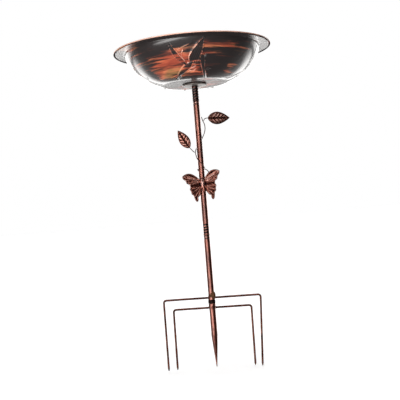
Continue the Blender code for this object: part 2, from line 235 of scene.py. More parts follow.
def finish_mesh(name, points, faces, marks, crease=38):
    """An object from points in millimetres, with each mark stored as a point attribute."""
    mesh = bpy.data.meshes.new(name)
    mesh.from_pydata((np.asarray(points, float) * MM).tolist(), [], faces)
    for mark, values in marks.items():
        layer = mesh.attributes.new(mark, "FLOAT", "POINT")
        layer.data.foreach_set("value", np.asarray(values, np.float32).ravel())
    bm = bmesh.new()
    bm.from_mesh(mesh)
    bmesh.ops.remove_doubles(bm, verts=bm.verts, dist=0.000002)
    bmesh.ops.recalc_face_normals(bm, faces=bm.faces)
    bm.to_mesh(mesh)
    bm.free()
    mesh.shade_smooth()
    mesh.set_sharp_from_angle(angle=math.radians(crease))
    return add_object(name, mesh)


def ring_mesh(name, points, marks, closed, crease=38):
    """A mesh over points[row, column], whose columns close into a ring, and its rows if closed."""
    rows, columns = points.shape[:2]
    index = np.arange(rows * columns).reshape(rows, columns)
    if closed:
        index = np.vstack([index, index[:1]])
    right = np.roll(index, -1, axis=1)
    faces = np.stack([index[:-1], right[:-1], right[1:], index[1:]], axis=-1)
    return finish_mesh(name, points.reshape(-1, 3), faces.reshape(-1, 4).tolist(), marks, crease)


def lathe(name, profile, closed=True, relief=None):
    """Turns a profile of (radius, height) points about the pole's axis.

    relief takes each point's turn, radius and height and returns its new radius and its ridge mark.
    """
    angles = np.arange(ROUND_SIDES) * math.tau / ROUND_SIDES
    radius, height = np.array(profile, float).T
    turn, radius = np.meshgrid(angles, radius)
    height = height[:, None] + 0 * turn
    ridge = np.full(turn.shape, PLAIN)
    if relief:
        radius, ridge = relief(turn, radius, height)
    points = np.stack([radius * np.cos(turn), radius * np.sin(turn), height], axis=-1)
    return ring_mesh(name, points, {"ridge": ridge}, closed)


def sweep(name, path, radius, sides, lumps=0.0):
    """A round wire along a path, with domed ends. radius is one number or one for each point."""
    path = np.array([tuple(p) for p in path], float)
    radius = np.broadcast_to(np.asarray(radius, float), len(path)).copy()
    tangent = np.gradient(path, axis=0)
    tangent /= np.linalg.norm(tangent, axis=1)[:, None]
    across = np.cross(tangent[0], (0.3, 0.9, 0.2))
    normals = []
    for direction in tangent:
        across = across - direction * across.dot(direction)
        across = across / np.linalg.norm(across)
        normals.append(across)
    normals = np.array(normals)
    sideways = np.cross(tangent, normals)
    caps = np.radians(np.linspace(0, 90, CAP_RINGS + 1)[1:])
    outwards, shrink = np.sin(caps)[:, None], np.cos(caps)
    centres = np.vstack([path[0] - tangent[0] * radius[0] * outwards[::-1], path,
                         path[-1] + tangent[-1] * radius[-1] * outwards])[:, None]
    sizes = np.concatenate([radius[0] * shrink[::-1], radius, radius[-1] * shrink])
    ends = ((CAP_RINGS, CAP_RINGS), (0, 0))
    normals, sideways = (np.pad(axes, ends, "edge")[:, None] for axes in (normals, sideways))
    turns = (np.arange(sides) * math.tau / sides)[None, :, None]
    points = centres + sizes[:, None, None] * (np.cos(turns) * normals + np.sin(turns) * sideways)
    if lumps:
        wobble = hash_wave(points[..., 0], points[..., 1], points[..., 2], 1)
        points = centres + (points - centres) * (1 + lumps * wobble[..., None])
    return ring_mesh(name, points, {"ridge": np.full(points.shape[:2], PLAIN)}, False, 60)


def inside(outline, x, y):
    """Whether points lie inside a closed outline, by counting the edges to their right."""
    hits = np.zeros(x.shape, bool)
    for (x0, y0), (x1, y1) in zip(outline, np.roll(outline, -1, axis=0)):
        crosses = (y0 > y) != (y1 > y)
        with np.errstate(divide="ignore", invalid="ignore"):
            at = (x1 - x0) * (y - y0) / (y1 - y0) + x0
        hits ^= crosses & (x < at)
    return hits


def edge_distance(outline, x, y):
    """How far each point is from the outline."""
    edges = zip(outline, np.roll(outline, -1, axis=0))
    return np.min([line_distance(x, y, start, end) for start, end in edges], axis=0)


def pressed_sheet(outline, spacing, thickness, shape):
    """Points, faces and marks of a stamped sheet that faces -Y.

    shape(x, z, edge) gives how far the sheet stands forwards and its ridge mark.
    """
    outline = np.asarray(outline, float)
    (x0, z0), (x1, z1) = outline.min(0), outline.max(0)
    row = np.arange(z0, z1, spacing * ROW_PITCH)
    x, z = np.meshgrid(np.arange(x0, x1, spacing), row)
    x = x + (np.arange(len(row)) % 2)[:, None] * spacing / 2
    keep = inside(outline, x, z) & (edge_distance(outline, x, z) > spacing * 0.55)
    flat = np.vstack([outline, np.stack([x[keep], z[keep]], axis=-1)])
    count = len(outline)
    edges = [(i, (i + 1) % count) for i in range(count)]
    made = delaunay_2d_cdt([Vector(p) for p in flat], edges, [], 1, 1e-7)
    flat = np.array([tuple(p) for p in made[0]])
    triangles = [tuple(f) for f in made[2]]
    forward, ridge = shape(flat[:, 0], flat[:, 1], edge_distance(outline, flat[:, 0], flat[:, 1]))
    front = np.stack([flat[:, 0], -forward - thickness / 2, flat[:, 1]], axis=-1)
    back = front + (0, thickness, 0)
    total = len(flat)
    faces = [*triangles, *[tuple(i + total for i in reversed(f)) for f in triangles]]
    seen = dict.fromkeys((a, b) for f in triangles for a, b in zip(f, f[1:] + f[:1]))
    faces += [(b, a, a + total, b + total) for a, b in seen if (b, a) not in seen]
    return np.vstack([front, back]), faces, {"ridge": np.concatenate([ridge, ridge * 0.6])}


def settle(piece, body, slot, finish, *nodes):
    """Gives a piece its material, its body and the CAD nodes it stands for; its slot is not used."""
    piece.data.materials.append(finish)
    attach(piece, body)
    if nodes:
        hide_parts(*nodes)


# ---- materials


class Wiring:
    """A node tree that is wired up a node at a time."""

    def __init__(self, tree):
        self.tree = tree

    def node(self, kind, **settings):
        made = self.tree.nodes.new(kind)
        for key, value in settings.items():
            setattr(made, key, value)
        return made

    def feed(self, socket, source):
        if isinstance(source, (int, float)):
            socket.default_value = source
        elif isinstance(source, tuple):
            socket.default_value = (*source, 1)
        else:
            self.tree.links.new(source, socket)

    def join(self, made, *sources):
        """Feeds a node's inputs in their order and returns its first output."""
        for socket, source in zip(made.inputs, sources):
            self.feed(socket, source)
        return made.outputs[0]

    def sum(self, a, b, scale=1.0):
        """a + b * scale"""
        return self.join(self.node("ShaderNodeMath", operation="MULTIPLY_ADD"), b, scale, a)

    def times(self, a, b):
        return self.join(self.node("ShaderNodeMath", operation="MULTIPLY"), a, b)

    def stretch(self, value, low_edge, high_edge, start=0.0, end=1.0):
        """Maps low_edge..high_edge smoothly onto start..end."""
        made = self.node("ShaderNodeMapRange", interpolation_type="SMOOTHSTEP")
        return self.join(made, value, low_edge, high_edge, start, end)

    def vary(self, cover, value, low_edge, high_edge, weight):
        """cover, raised and lowered by a value about the middle between two edges."""
        return self.sum(cover, self.stretch(value, low_edge, high_edge, -0.5, 0.5), weight)

    def band(self, value, low_edge, low_full, high_full, high_edge):
        """0 outside the edges and 1 between the two full points."""
        return self.times(self.stretch(value, low_edge, low_full),
                          self.stretch(value, high_full, high_edge, 1.0, 0.0))

    def ramp(self, value, *stops):
        """A colour ramp of (position, colour) stops."""
        made = self.node("ShaderNodeValToRGB")
        elements = made.color_ramp.elements
        while len(elements) < len(stops):
            elements.new(1.0)
        for element, (position, colour) in zip(elements, stops):
            element.position = position
            element.color = (*colour, 1)
        self.feed(made.inputs["Fac"], value)
        return made.outputs["Color"]


class Paint(Wiring):
    """A Principled material."""

    def __init__(self, name, **inputs):
        self.material = bpy.data.materials.new(name)
        self.material.use_nodes = True
        super().__init__(self.material.node_tree)
        self.shader = self.tree.nodes["Principled BSDF"]
        self.place = self.node("ShaderNodeTexCoord").outputs["Object"]
        for key, value in inputs.items():
            self.shader.inputs[key.replace("_", " ")].default_value = value

    def noise(self, stretch, detail=4, roughness=0.55, distortion=0.0):
        """Noise in 0..1, with its waves a metre long divided by stretch along X, Y and Z."""
        mapping = self.node("ShaderNodeMapping")
        mapping.inputs["Scale"].default_value = stretch
        made = self.node("ShaderNodeTexNoise")
        settings = {"Scale": 1, "Detail": detail, "Roughness": roughness, "Distortion": distortion}
        for key, value in settings.items():
            made.inputs[key].default_value = value
        self.feed(made.inputs["Vector"], self.join(mapping, self.place))
        return made.outputs["Fac"]

    def mark(self, name):
        return self.node("ShaderNodeAttribute", attribute_name=name).outputs["Fac"]

    def mix(self, value, a, b):
        made = self.node("ShaderNodeMix", data_type="RGBA")
        for key, source in (("Factor", value), ("A", a), ("B", b)):
            self.feed(made.inputs[key], source)
        return made.outputs["Result"]

    def bump(self, height, depth, strength):
        """A bump of the given depth in metres."""
        made = self.node("ShaderNodeBump")
        for key, value in (("Strength", strength), ("Distance", depth), ("Height", height)):
            self.feed(made.inputs[key], value)
        self.set("Normal", made.outputs["Normal"])

    def set(self, key, source):
        self.feed(self.shader.inputs[key], source)


def brushed_bowl_coat():
    """Glossy black lacquer, dry-brushed with copper in long level strokes, with a painted highlight on the
    highest ridges and along the rim bead.
    """
    paint = Paint("brushed_bowl_coat", Coat_Roughness=0.1, Coat_IOR=1.5)
    strokes = paint.noise((7, 7, 95), detail=4, roughness=0.6, distortion=0.2)
    streaks = paint.noise((11, 11, 270), detail=3, roughness=0.6)
    hairs = paint.noise((30, 30, 1700), detail=3, roughness=0.7)
    clouds = paint.noise((14, 14, 120), detail=3)
    cover = paint.vary(paint.mark("copper"), strokes, 0.32, 0.68, 0.8)
    cover = paint.vary(cover, streaks, 0.36, 0.64, 1.3)
    cover = paint.vary(cover, hairs, 0.3, 0.7, 0.7)
    cover = paint.vary(cover, paint.mark("ridge"), 0, 1, 1.6)
    cover = paint.stretch(cover, 0.1, 1.25)
    hue = paint.ramp(
        paint.stretch(clouds, 0.3, 0.7),
        (0.0, (0.24, 0.045, 0.028)), (0.35, (0.44, 0.095, 0.048)),
        (0.65, (0.58, 0.17, 0.08)), (1.0, (0.28, 0.15, 0.06)),
    )
    # Pale pinkish cream on the highest ridge marks, as wear and painted highlight, and on the rim bead where
    # its copper mark passes 1, as painted highlight.
    crest_wear_and_highlight = paint.stretch(paint.mark("ridge"), 0.85, 1.2)
    wear_and_painted_highlight = paint.sum(crest_wear_and_highlight, paint.stretch(paint.mark("copper"), 1.05, 1.5))
    hue = paint.mix(wear_and_painted_highlight, hue, (0.74, 0.44, 0.34))
    paint.set("Base Color", paint.mix(cover, (0.020, 0.016, 0.016), hue))
    paint.set("Metallic", paint.times(cover, 0.15))
    paint.set("Roughness", paint.stretch(hairs, 0.2, 0.8, 0.35, 0.5))
    paint.set("Coat Weight", paint.stretch(paint.mark("dull"), 0, 1, 1, 0))
    paint.set("Specular IOR Level", paint.stretch(paint.mark("dull"), 0, 1, 0.5, 0.0))
    paint.bump(hairs, 0.00003, 0.35)
    return paint.material


def antique_copper(name, stretch, brightness=1.0, coat=1.0, mottle=1.0, roughness=0.28):
    """Copper-brown lacquer over black, rubbed bright on the ridges and black in the grooves; on some pieces
    the ridge mark also carries painted highlight and painted shade.
    """
    paint = Paint(name, Coat_Weight=coat, Coat_Roughness=0.24)
    patches = paint.noise(stretch, detail=4, roughness=0.6)
    grain = paint.noise(tuple(12 * s for s in stretch), detail=3, roughness=0.6)
    cover = paint.vary(paint.mark("ridge"), patches, 0.3, 0.7, 0.40 * mottle)
    cover = paint.vary(cover, grain, 0.3, 0.7, 0.15 * mottle)
    shades = ((0.0, (0.008, 0.003, 0.003)), (0.3, (0.08, 0.019, 0.012)), (0.55, (0.34, 0.105, 0.070)),
              (0.8, (0.62, 0.27, 0.205)), (1.0, (0.85, 0.52, 0.45)))
    paint.set("Base Color", paint.ramp(
        cover, *((at, tuple(c * brightness for c in colour)) for at, colour in shades)))
    paint.set("Metallic", paint.stretch(cover, 0.1, 0.6, 0.85, 1.0))
    paint.set("Roughness", paint.stretch(grain, 0.2, 0.8, roughness, roughness + 0.16))
    paint.bump(grain, 0.00004, 0.3)
    return paint.material


def pressed_copper(name, brightness, coat=0.1):
    """The leaves' and the wings' copper, a rougher and evener one."""
    return antique_copper(name, (50, 50, 50), brightness, coat, mottle=0.35, roughness=0.38)


def dark_lacquer(name, colour, roughness, coat=0.0):
    """A satin dark lacquer with a faint brown mottle."""
    paint = Paint(name, Metallic=0.35, Specular_IOR_Level=0.25, Coat_Weight=coat, Coat_Roughness=0.15)
    mottle = paint.noise((260, 260, 160), detail=4)
    paint.set("Base Color", paint.ramp(
        mottle, (0.3, tuple(c * 0.45 for c in colour)), (0.7, tuple(c * 1.6 for c in colour))))
    paint.set("Roughness", paint.stretch(mottle, 0.3, 0.7, roughness, roughness + 0.15))
    paint.bump(mottle, 0.00005, 0.4)
    return paint.material


# ---- tubes, joints and spike


def rolled_thread(start, end, least_radius):
    """Relief that presses a right-hand helical groove into the wall outside least_radius."""
    def relief(turn, radius, height):
        wave = 0.5 - 0.5 * np.cos(math.tau * height / PITCH - turn)
        fade = np.clip(np.minimum((height - start) / 2, (end - height) / 2), 0, 1) * (radius >= least_radius)
        groove = wave**1.3 * fade
        return radius - THREAD_DEPTH * groove, PLAIN + fade * (RIB_CREST - RIB_GROOVE * groove)
    return relief


def both(first, second):
    """Two reliefs on one lathe."""
    def relief(turn, radius, height):
        radius, one = first(turn, radius, height)
        radius, other = second(turn, radius, height)
        return radius, one + other - PLAIN
    return relief


def spigot(shoulder, top):
    """Profile of a tube's screwed end: its shoulder, up the spigot and down the bore."""
    return [
        *arc((TUBE_RADIUS - EDGE, shoulder - EDGE), EDGE, 0, 90, 5),
        (SPIGOT_RADIUS + 0.3, shoulder), (SPIGOT_RADIUS, shoulder + 0.3),
        *rise(SPIGOT_RADIUS, shoulder + 1, top - EDGE, 0.4),
        (SPIGOT_RADIUS - 0.5, top), (SPIGOT_BORE + 0.2, top), (SPIGOT_BORE, top - 0.2),
        (SPIGOT_BORE, shoulder - 4), (BORE, shoulder - 7),
    ]


def spigot_thread(top):
    """Relief of the thread on a spigot."""
    return rolled_thread(top - THREAD_LENGTH, top - 0.5, SPIGOT_RADIUS - 0.1)


def swelling(share):
    """Radius of the tube or the spike where it widens towards the collar."""
    return TUBE_RADIUS + (SWELL_RADIUS - TUBE_RADIUS) * share


def make_lower_tube(finish):
    profile = [
        (BORE, POLE_BASE), (SWELL_RADIUS - 0.3, POLE_BASE), (SWELL_RADIUS, POLE_BASE + 0.3),
        *[(swelling(1 - ease(2, SWELL_LENGTH, d)), POLE_BASE + d) for d in np.linspace(1, SWELL_LENGTH, 12)],
        *rise(TUBE_RADIUS, POLE_BASE + SWELL_LENGTH + 1, MID_SHOULDER - 1.2, 6),
        *spigot(MID_SHOULDER, SPIGOT_TOP),
    ]
    piece = lathe("lower_tube", profile, relief=spigot_thread(SPIGOT_TOP))
    settle(piece, "stake", "copper", finish, "lower_pole")


def make_upper_tube(finish):
    neck = UPPER_BASE + SPIGOT_TOP - MID_SHOULDER
    lip = TUBE_RADIUS + 0.25
    profile = [
        (FEMALE_BORE + 0.2, UPPER_BASE), (TUBE_RADIUS - 0.2, UPPER_BASE), (lip, UPPER_BASE + 0.6),
        (lip, UPPER_BASE + 1.8), *rise(TUBE_RADIUS, UPPER_BASE + 2.6, UPPER_BASE + 4 + THREAD_LENGTH, 0.4),
        *rise(TUBE_RADIUS, UPPER_BASE + 8 + THREAD_LENGTH, TOP_SHOULDER - 1.2, 6),
        *spigot(TOP_SHOULDER, UPPER_SPIGOT_TOP),
        (BORE, neck + 2), (FEMALE_BORE, neck), (FEMALE_BORE, UPPER_BASE + 0.2),
    ]
    ribs = rolled_thread(UPPER_BASE + 2.5, UPPER_BASE + 3.5 + THREAD_LENGTH, BORE + 0.1)
    piece = lathe("upper_tube", profile, relief=both(ribs, spigot_thread(UPPER_SPIGOT_TOP)))
    settle(piece, "upper", "copper", finish, "upper_pole")


def make_socket(finish):
    top = PLATE_BASE - GAP
    profile = [
        (FEMALE_BORE + 0.2, SOCKET_BASE), (SOCKET_RADIUS - 0.4, SOCKET_BASE),
        (SOCKET_RADIUS, SOCKET_BASE + 0.4), *rise(SOCKET_RADIUS, SOCKET_BASE + 0.8, top - 2, 0.4),
        (SOCKET_RADIUS, top - 0.6), (SOCKET_RADIUS - 0.3, top), (0, top), (0, top - 3),
        (FEMALE_BORE, top - 3), (FEMALE_BORE, SOCKET_BASE + 0.2),
    ]
    relief = rolled_thread(SOCKET_BASE + 1, top - 2, FEMALE_BORE + 0.5)
    settle(lathe("socket_tube", profile, relief=relief), "dish", "copper", finish, "dish_socket")


def make_ring(name, node, body, finish):
    """A half-round bead ring with a fine groove above and below its crown."""
    base, top = low(node), high(node)
    middle, bore = (base + top) / 2, SPIGOT_RADIUS + GAP
    flank = RING_RADIUS - 0.15
    crown = [(RING_RADIUS - 0.75 + 0.75 * math.cos(a), middle + 1.9 * math.sin(a))
             for a in np.radians(np.linspace(-90, 90, 13))]
    profile = [
        (bore, base), (RING_RADIUS - 0.4, base), (flank, base + 0.25), (flank, middle - 2.1), *crown,
        (flank, middle + 2.1), (flank, top - 0.25), (RING_RADIUS - 0.4, top), (bore, top),
    ]
    def relief(turn, radius, height):
        crest = np.clip(1 - np.abs(height - middle) / 2, 0, 1)
        return radius, 0.2 + 0.75 * crest
    settle(lathe(name, profile, relief=relief), body, "copper", finish, node)


def make_collar(finish):
    """The plug's dark collar, a rounded band of braze with a wavy edge."""
    base, top = SPIKE_TOP + GAP, POLE_BASE - GAP
    stem = BORE - GAP
    plug_low, plug_top = low("joint_plug"), high("joint_plug")
    rounding = 0.9
    crown = COLLAR_RADIUS - rounding
    profile = [
        (0, plug_low), (stem - EDGE, plug_low), (stem, plug_low + EDGE), (stem, base),
        *arc((crown, base + rounding), rounding, -90, 0, 5), *rise(COLLAR_RADIUS, base + 1.4, top - 1.4, 0.5),
        *arc((crown, top - rounding), rounding, 0, 90, 5),
        (stem, top), (stem, plug_top - EDGE), (stem - EDGE, plug_top), (0, plug_top),
    ]
    def relief(turn, radius, height):
        wobble = hash_wave(radius * np.cos(turn), radius * np.sin(turn), height * 1.4, 7) - 1
        return radius + (radius > stem + 0.5) * 0.14 * wobble, 0.4 + 0.2 * wobble
    piece = lathe("collar", profile, closed=False, relief=relief)
    settle(piece, "stake", "dark_collar", finish, "joint_plug")


def make_ground_spike(finish):
    """A tube end that is squeezed flat and folded to a point."""
    pinch = TIP + PINCH_LENGTH
    bore_floor = SPIKE_TOP - 30
    taper = []
    for up in [*np.linspace(0.02, 3, 8), *np.linspace(4, PINCH_LENGTH, 60)]:
        share = up / PINCH_LENGTH
        width = 0.7 + (TUBE_RADIUS - 0.7) * (share - 0.03 * math.sin(math.tau * share))
        nose = math.sqrt(min(1, up / 0.9))
        taper.append((width * nose, TIP + up))
    swell = [(swelling(ease(0, 1, t)), SPIKE_TOP - SWELL_LENGTH + (SWELL_LENGTH - 3) * t)
             for t in np.linspace(0, 1, 10)]
    profile = [
        (0, TIP), *taper, *rise(TUBE_RADIUS, pinch + 3, SPIKE_TOP - SWELL_LENGTH - 2, 3), *swell,
        (SWELL_RADIUS, SPIKE_TOP - 1), *arc((SWELL_RADIUS - EDGE, SPIKE_TOP - EDGE), EDGE, 10, 90, 4),
        (BORE, SPIKE_TOP), (BORE, bore_floor), (0, bore_floor - 2),
    ]
    piece = lathe("ground_spike", profile, closed=False, relief=squeeze)
    settle(piece, "stake", "copper", finish, "spike")


def squeeze(turn, radius, height):
    """Flattens the spike towards its tip and folds a seam, left of the middle, into its front and back."""
    share = np.clip((height - TIP) / PINCH_LENGTH, 0, 1)
    flat = ease(0.05, 1, 1 - share) * (height < TIP + PINCH_LENGTH)
    x, y = radius * np.cos(turn), radius * np.sin(turn)
    boxy = 1 + 0.10 * flat * np.cos(4 * turn)
    from_seam = x / np.maximum(radius, 0.6) + 0.42 - 0.30 * (1 - share)
    seam = flat * bell(from_seam, 0.13)
    # Painted highlight: a lighter band beside the seam, along the fold; only the seam itself is pressed into
    # the shape.
    crest = flat * bell(from_seam - 0.3, 0.2)
    depth = y * (0.55 + 0.45 * share) * (1 - 0.30 * seam)
    return boxy * np.hypot(x, depth), PLAIN - 0.45 * seam + 0.25 * crest


# ---- forks and welds


def fork_path(shape):
    """The centreline of a fork, left tip to right tip, and its radius along the way."""
    bar, *sides = shape
    ends = []
    for sign, (reach, droop, tuck, depth) in zip((-1, 1), zip(*sides)):
        corner = Vector((sign * reach, FORK_DEPTH, bar - reach * math.tan(math.radians(droop))))
        down = Vector((-sign * math.sin(math.radians(tuck)), 0, -math.cos(math.radians(tuck))))
        ends.append((corner, corner + down * (corner.z + depth) / -down.z))
    (left, left_tip), (right, right_tip) = ends
    middle = Vector((0, FORK_DEPTH, bar))
    left_bend = bend(left, left_tip, middle, FORK_BEND)
    right_bend = bend(right, middle, right_tip, FORK_BEND)
    path = [
        *straight(left_tip, left_bend[0], 1.25), *left_bend, *straight(left_bend[-1], right_bend[0], 4)[1:],
        *right_bend, *straight(right_bend[-1], right_tip, 1.25)[1:], right_tip,
    ]
    from_tip = np.array([min((p - left_tip).length, (p - right_tip).length) for p in path])
    point = 0.4 + 0.6 * np.clip(from_tip / POINT_LENGTH, 0, 1) ** 0.8
    return path, WIRE_RADIUS * point


def make_prongs(name, node, shape, finish):
    path, radius = fork_path(shape)
    path[0] = path[0].lerp(path[1], 0.5)
    path[-1] = path[-1].lerp(path[-2], 0.5)
    settle(sweep(name, path, radius, sides=24), "stake", "copper", finish, node)


def lump(name, centre, size, seed, turns=40, rows=24, ripple=0.02):
    """A blob of weld: a rough ellipsoid that is pushed clear of the pole's surface."""
    tilt = np.linspace(-math.pi / 2, math.pi / 2, rows)[:, None]
    turn = (np.arange(turns) * math.tau / turns)[None]
    x, y, z = np.cos(tilt) * np.cos(turn), np.cos(tilt) * np.sin(turn), np.sin(tilt) + 0 * turn
    rough = hash_wave(4 * x, 4 * y, 4 * z, seed)
    fine = hash_wave(11 * x, 11 * y, 11 * z, seed + 1)
    spread = 0.93 + 0.05 * rough + 0.025 * fine + ripple * np.sin(14 * z)
    points = np.array(centre) + np.stack([x, y, z], axis=-1) * np.array(size) * spread[..., None]
    away = np.hypot(points[..., 0], points[..., 1])
    push = np.maximum(away, pole_surface(points[..., 2])) / np.maximum(away, 1e-6)
    points[..., :2] *= push[..., None]
    return ring_mesh(name, points, {"ridge": 0.42 + 0.3 * rough + 0.15 * fine}, False, 60)


def pole_surface(height):
    """Radius that a weld keeps clear of beside the stake, at a height."""
    above = swelling(1 - ease(2, SWELL_LENGTH, height - POLE_BASE))
    below = swelling(ease(-SWELL_LENGTH, -3, height - SPIKE_TOP))
    return 0.05 + np.where(height > POLE_BASE, above, np.where(height > SPIKE_TOP, COLLAR_RADIUS, below))


def make_welds(finish):
    box_low, box_high = (Vector(corner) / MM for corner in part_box("fork_boss"))
    middle = (box_low.z + box_high.z) / 2
    boss = lump("weld_lump", (3.6, -3.2, middle), (4.9, 4.9, box_high.z - middle), 3)
    settle(boss, "stake", "copper", finish, "fork_boss")
    for fork, bar in (("outer", OUTER_FORK[0]), ("inner", INNER_FORK[0])):
        for side, sign in (("left", -1), ("right", 1)):
            centre = (sign * 4.2, 7.2, bar)
            bead = lump(f"{fork}_weld_{side}", centre, (3.0, 2.2, 3.1), 11 + sign, 24, 16, 0.03)
            settle(bead, "stake", "copper", finish)


# ---- bowl


def wall_curve(steps):
    """Outer wall points, their outward normals and their distance up the wall."""
    flange = RIM_TOP - BEAD_RADIUS - SHEET / 2
    angle = np.linspace(0, math.pi / 2, 2001)
    radius = FLOOR_RADIUS + (WALL_RADIUS - FLOOR_RADIUS) * np.sin(angle) ** (2 / WALL_POWER)
    height = DISH_BASE + (flange - DISH_BASE) * (1 - np.cos(angle) ** (2 / WALL_POWER))
    along = np.concatenate([[0], np.cumsum(np.hypot(np.diff(radius), np.diff(height)))])
    even = np.linspace(0, along[-1], steps + 1)
    radius, height = np.interp(even, along, radius), np.interp(even, along, height)
    dr, dz = np.gradient(radius), np.gradient(height)
    length = np.hypot(dr, dz)
    return radius, height, dz / length, -dr / length, even


def stroke_field(x, y, knots, steps=14):
    """For a tapered stroke of (x, y, half width) knots: how far out, how far along and which side."""
    spine = smooth(knots, steps)
    along = np.concatenate([[0], np.cumsum(np.hypot(*np.diff(spine[:, :2], axis=0).T))])
    direction = np.gradient(spine[:, :2], axis=0)
    offset_x = x[..., None] - spine[:, 0]
    offset_y = y[..., None] - spine[:, 1]
    nearest = np.argmin(offset_x**2 + offset_y**2, axis=-1)

    def pick(values):
        return np.take_along_axis(values, nearest[..., None], -1)[..., 0]

    distance = np.hypot(pick(offset_x), pick(offset_y))
    out = distance / np.maximum(spine[nearest, 2], 0.05)
    side = np.sign(direction[nearest, 0] * pick(offset_y) - direction[nearest, 1] * pick(offset_x))
    return out, along[nearest], side * distance


def dome(out):
    return np.clip(1 - out**2, 0, 1)


def plate(out, softness=0.32):
    return 1 - ease(1 - softness, 1 + softness, out)


def rim_line(out, at=0.86, width=0.13):
    return bell(out - at, width)


# The pressed hummingbird and its flower, as strokes of (x, y, half width): x is millimetres round
# the wall from the motif's middle, and y is millimetres up the wall
RIGHT_WING = [(7, 50, 3.5), (13, 58, 10.5), (20, 69, 10.5), (28, 82, 7.2), (37, 96, 1.0)]
LEFT_WING = [(-2, 48, 2.4), (-9, 57, 4.8), (-17, 69, 5.6), (-23, 81, 4.2), (-28, 92, 0.9)]
BODY = [(9, 51, 3.2), (3, 45, 6.2), (-5, 37, 7.4), (-13, 28, 5.4), (-20, 20, 2.6)]
HEAD = [(10, 49, 4.0), (13.5, 51.5, 4.6), (16, 53, 3.4)]
BEAK = [(17, 53.5, 1.2), (22, 55.5, 0.8), (27, 57.5, 0.35)]
TAIL = [
    [(-17, 23, 1.6), (-26, 19, 2.4), (-36, 17, 0.8)],
    [(-17, 22, 1.6), (-24, 14, 2.6), (-31, 8, 0.9)],
    [(-16, 21, 1.6), (-19, 12, 2.6), (-20, 2, 0.9)],
]
FLOWER = [
    [(27.2, 2, 2.6), (27.6, 22, 3.0), (28.0, 42, 3.6), (28.6, 54, 5.2), (29.0, 61, 5.8)],
    [(25, 58, 1.6), (21.5, 63, 2.0), (19.5, 67, 0.5)],
    [(32, 58, 1.6), (36, 63, 2.0), (38, 67, 0.5)],
]
CHEST = [
    [(0.5, 33, 0.7), (5, 37, 1.2), (10, 38.5, 1.1), (15, 42, 0.6)],
    [(-2, 28, 0.6), (4, 31, 1.1), (10, 31.5, 1.1), (15, 35, 0.6)],
    [(12, 46, 0.6), (16, 49, 1.3), (20, 51, 0.6)],
]
LEAVES = [
    [(22, 36, 0.6), (15, 39, 2.8), (8, 38, 0.5)],
    [(24, 22, 0.6), (13, 27, 3.4), (2, 26, 0.5)],
    [(31, 30, 0.6), (38, 35, 2.6), (44, 36, 0.5)],
]
TENDRILS = [
    [(-2, 55, 0.9), (-6, 62, 0.9), (-7, 70, 0.9), (-5, 74, 0.7)],
    [(-13, 78, 0.9), (0, 83, 1.1), (15, 88, 0.5)],
]
BUD = [(-5.5, 73, 2.0), (-4, 75.5, 2.2), (-3, 78, 0.8)]


def feathered(x, y, knots, height, slant, pitch):
    """A wing: a raised edge round a sunken blade with slanting barbs."""
    out, along, side = stroke_field(x, y, knots)
    barb = 0.5 + 0.5 * np.cos(math.tau * (along + slant * side) / pitch)
    toothed = out * (1 + 0.16 * barb * (side * slant > 0))
    body = plate(toothed)
    lift = body * (0.45 * height + 0.5 * height * rim_line(toothed) + 0.28 * height * barb * (out < 0.85))
    # The blade inside the raised edge is marked darker, as patina and painted shade.
    mark = body * (0.9 * rim_line(toothed) + 0.30 * barb * (out < 0.8) - 0.55 * (out < 0.8))
    return lift, mark


def stem(x, y, knots, height):
    out, _, _ = stroke_field(x, y, knots)
    return height * dome(out), plate(out) * (0.9 * dome(out) - 0.25)


def motif(x, y):
    """Height of the pressed motif and its ridge mark, where 0 is the plain wall."""
    parts = [feathered(x, y, RIGHT_WING, 2.2, -0.9, 4.6), feathered(x, y, LEFT_WING, 2.0, 0.9, 4.2)]
    for knots in TAIL:
        out, _, _ = stroke_field(x, y, knots)
        parts.append((1.7 * dome(out), plate(out) * (0.7 * rim_line(out, 0.9, 0.2) - 0.6 * dome(out))))
    parts += [stem(x, y, knots, 1.2) for knots in TENDRILS]
    parts += [stem(x, y, knots, 1.4) for knots in CHEST]
    for knots in LEAVES:
        out, _, side = stroke_field(x, y, knots)
        blade, vein = plate(out), bell(side, 0.5)
        parts.append((blade * (1.3 * dome(out) + 0.2 - 0.5 * vein), blade * (0.5 * dome(out) - 0.7 * vein)))
    parts.append(stem(x, y, BUD, 1.8))
    for knots in FLOWER:
        out, _, side = stroke_field(x, y, knots)
        flute = 0.5 + 0.5 * np.cos(math.tau * side / 3.2)
        parts.append((plate(out) * (1.6 * dome(out) + 0.35 * flute),
                      plate(out) * (0.8 * rim_line(out, 0.9) - 0.55 * dome(out) + 0.25 * flute)))
    out, along, side = stroke_field(x, y, BODY)
    scale = 0.5 + 0.5 * np.cos(math.tau * (along / 3.4)) * np.cos(math.tau * side / 3.4)
    parts.append((plate(out, 0.2) * (2.6 * dome(out) + 0.2 * scale),
                  plate(out) * (0.75 * rim_line(out, 0.9, 0.16) - 0.6 * dome(out) + 0.22 * scale)))
    out, _, _ = stroke_field(x, y, HEAD)
    eye = np.exp(-(((x - 14.2) ** 2 + (y - 53.0) ** 2) / 0.8))
    parts.append((2.4 * dome(out) - 0.8 * eye, plate(out) * (0.5 * dome(out)) - 1.2 * eye))
    parts.append(stem(x, y, BEAK, 1.3))
    height = np.zeros(x.shape)
    mark = np.zeros(x.shape)
    for lift, tone in parts:
        mark = np.where(lift > height + 0.02, tone, mark)
        height = np.maximum(height, lift)
    return height, mark


# Where copper is brushed on, as (degrees from the motif's middle, millimetres up the wall, their
# half widths, and strength)
COPPER_PATCHES = [
    (-21, 48, 18, 20, 1.0), (-6, 62, 10, 22, 0.9), (15, 85, 9, 9, 0.5), (4, 34, 16, 16, 0.85),
    (-20, 20, 26, 11, 0.85), (26, 66, 12, 6, 0.15), (34, 84, 14, 5, 0.15), (20, 20, 8, 12, 0.35),
    (-38, 38, 13, 10, 0.6),
]
BARE = -0.35
BASE_DULL = 0.35


